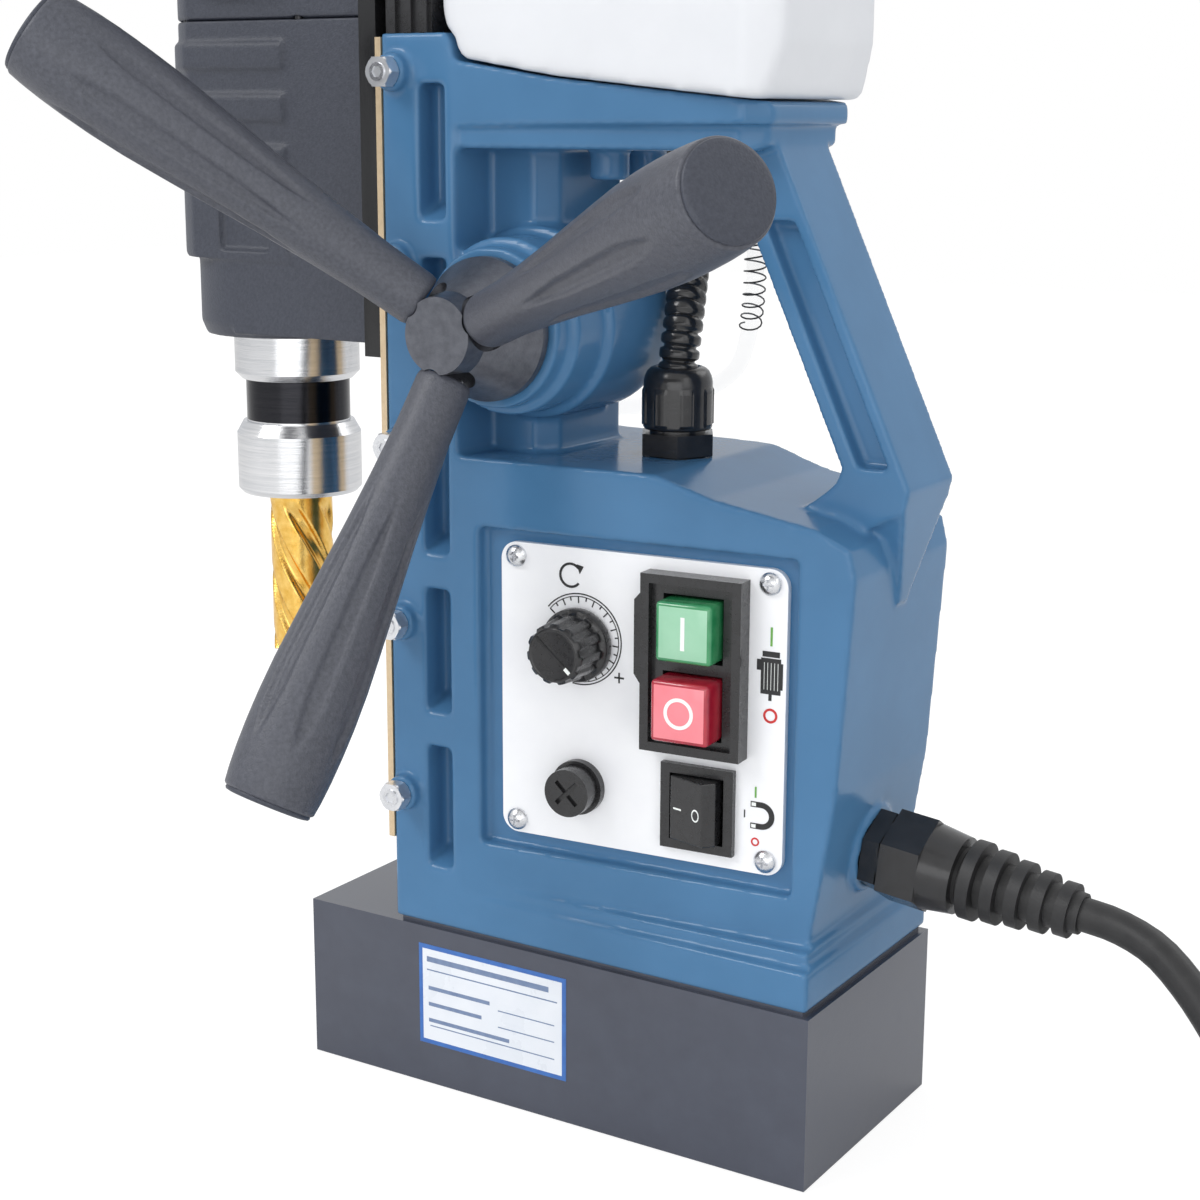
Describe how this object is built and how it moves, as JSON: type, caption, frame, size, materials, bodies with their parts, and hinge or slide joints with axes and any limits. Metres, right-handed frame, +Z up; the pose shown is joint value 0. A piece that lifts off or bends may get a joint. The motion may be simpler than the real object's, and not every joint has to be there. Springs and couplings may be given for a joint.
{
  "type": "magnetic drill press",
  "caption": "Portable drill on an electromagnet foot: a rack-fed carriage on a dovetail column, hub handles, geared spindle, control panel and coolant tank.",
  "frame": {"origin": "centre of the magnet's bottom face, on the work surface", "axes": "+X from the drilling head towards the grip strut, -Y towards the side with the control panel and the feed handles, +Z up, along the slide"},
  "size_m": [0.502, 0.264, 0.47],
  "materials": {
    "blue_paint": "gloss",
    "magnet_black": "semi-gloss",
    "copper": "varnished wire",
    "potting": "matte",
    "zinc_steel": "zinc plated",
    "brass": "worn",
    "bronze": "satin",
    "black_steel": "black oxide",
    "black_plastic": "satin",
    "panel_white": "satin",
    "board_green": "satin",
    "gland_black": "satin",
    "cord_rubber": "matte",
    "conduit_black": "satin",
    "tank_white": "satin",
    "hose_clear": "gloss",
    "slide_black": "satin",
    "steel": "machined",
    "housing_grey": "fine texture",
    "laminations": "laminated",
    "polished_steel": "polished",
    "tin_gold": "nitride coated",
    "hub_grey": "satin",
    "handle_black": "satin",
    "button_green": "gloss",
    "button_red": "gloss"
  },
  "bodies": {
    "frame": {"frame_casting": "blue_paint", "magnet_body": "magnet_black", "magnet_coil": "copper", "magnet_potting": "potting", "magnet_bolts": "zinc_steel", "wear_strips": "brass", "gib": "brass", "gib_screws": "zinc_steel", "gib_lock_nuts": "zinc_steel", "pinion_bushes": "bronze", "pinion_cover": "blue_paint", "column_cap": "black_plastic", "control_panel": "panel_white", "panel_screws": "zinc_steel", "switch_body": "black_plastic", "rocker_frame": "black_plastic", "fuse_holder": "black_plastic", "potentiometer": "zinc_steel", "circuit_board": "board_green", "mains_gland_body": "gland_black", "mains_gland_nut": "gland_black", "strain_relief": "cord_rubber", "mains_cord": "cord_rubber", "mains_cord_coil": "cord_rubber", "mains_plug": "cord_rubber", "motor_gland_body": "gland_black", "motor_gland_nut": "gland_black", "motor_conduit": "conduit_black", "coolant_tank": "tank_white", "coolant_valve": "brass", "coolant_hose": "hose_clear"},
    "carriage": {"slide_plate": "slide_black", "rack": "steel", "gearbox_housing": "housing_grey", "motor_housing": "housing_grey", "motor_cap": "housing_grey", "stator": "laminations", "brush_caps": "black_plastic", "gearbox_screws": "black_steel", "ball_bearings": "steel", "conduit_elbow": "gland_black"},
    "drill_spindle": {"spindle": "polished_steel", "spindle_gear": "steel", "annular_cutter": "tin_gold", "pilot_pin": "polished_steel", "sleeve_spring": "black_steel"},
    "quick_sleeve": {"release_sleeve": "polished_steel"},
    "layshaft_body": {"layshaft": "steel"},
    "armature_body": {"armature": "laminations", "cooling_fan": "black_plastic"},
    "capstan": {"capstan_hub": "hub_grey", "pinion_shaft": "steel", "feed_handles": "handle_black"},
    "knob": {"speed_knob": "black_plastic"},
    "start": {"start_button": "button_green"},
    "stop": {"stop_button": "button_red"},
    "rocker": {"magnet_rocker": "black_plastic"},
    "fuse": {"fuse_cap": "black_plastic"},
    "lid": {"tank_lid": "black_plastic"},
    "lever": {"valve_lever": "black_plastic"}
  },
  "joints": [
    {"name": "carriage_feed", "type": "slide", "parent": "frame", "child": "carriage", "axis": [0, 0, 1], "range_m": [-0.15, 0.005], "deforming": ["motor_conduit", "coolant_hose"]},
    {"name": "capstan_turn", "type": "hinge", "parent": "frame", "child": "capstan", "pos_m": [-0.014, 0, 0.232], "axis": [0, 1, 0], "range_deg": [-574, 20]},
    {"name": "armature_spin", "type": "hinge", "parent": "carriage", "child": "armature_body", "pos_m": [-0.116, 0, 0.37], "axis": [0, 0, 1], "continuous": true},
    {"name": "layshaft_spin", "type": "hinge", "parent": "carriage", "child": "layshaft_body", "pos_m": [-0.09, 0, 0.28], "axis": [0, 0, 1], "continuous": true},
    {"name": "spindle_spin", "type": "hinge", "parent": "carriage", "child": "drill_spindle", "pos_m": [-0.12, 0, 0.24], "axis": [0, 0, 1], "continuous": true},
    {"name": "sleeve_lift", "type": "slide", "parent": "drill_spindle", "child": "quick_sleeve", "axis": [0, 0, 1], "range_m": [0, 0.007], "stiffness_N_per_m": 1500, "springref_m": -0.004, "deforming": ["sleeve_spring"]},
    {"name": "speed_turn", "type": "hinge", "parent": "frame", "child": "knob", "pos_m": [0.0098, -0.04275, 0.1443], "axis": [0.0785, -0.9969, 0], "range_deg": [-210, 90]},
    {"name": "start_press", "type": "slide", "parent": "frame", "child": "start", "axis": [-0.0785, 0.9969, 0], "range_m": [0, 0.0035], "stiffness_N_per_m": 800, "springref_m": -0.001},
    {"name": "stop_press", "type": "slide", "parent": "frame", "child": "stop", "axis": [-0.0785, 0.9969, 0], "range_m": [0, 0.0035], "stiffness_N_per_m": 800, "springref_m": -0.001},
    {"name": "magnet_switch", "type": "hinge", "parent": "frame", "child": "rocker", "pos_m": [0.04642, -0.02884, 0.1018], "axis": [0, 0, 1], "range_deg": [0, 12]},
    {"name": "fuse_turn", "type": "hinge", "parent": "frame", "child": "fuse", "pos_m": [0.00961, -0.03775, 0.1025], "axis": [0.0785, -0.9969, 0], "range_deg": [0, 90]},
    {"name": "lid_turn", "type": "hinge", "parent": "frame", "child": "lid", "pos_m": [0.01, 0, 0.4], "axis": [0, 0, 1], "continuous": true},
    {"name": "valve_turn", "type": "hinge", "parent": "frame", "child": "lever", "pos_m": [0.0335, 0.022, 0.271], "axis": [0, 1, 0], "range_deg": [0, 90]}
  ],
  "couplings": [
    {"joint": "capstan_turn", "follows": "carriage_feed", "rad_per_m": 66.667},
    {"joint": "layshaft_spin", "follows": "armature_spin", "ratio": -0.3},
    {"joint": "spindle_spin", "follows": "armature_spin", "ratio": 0.091304}
  ]
}
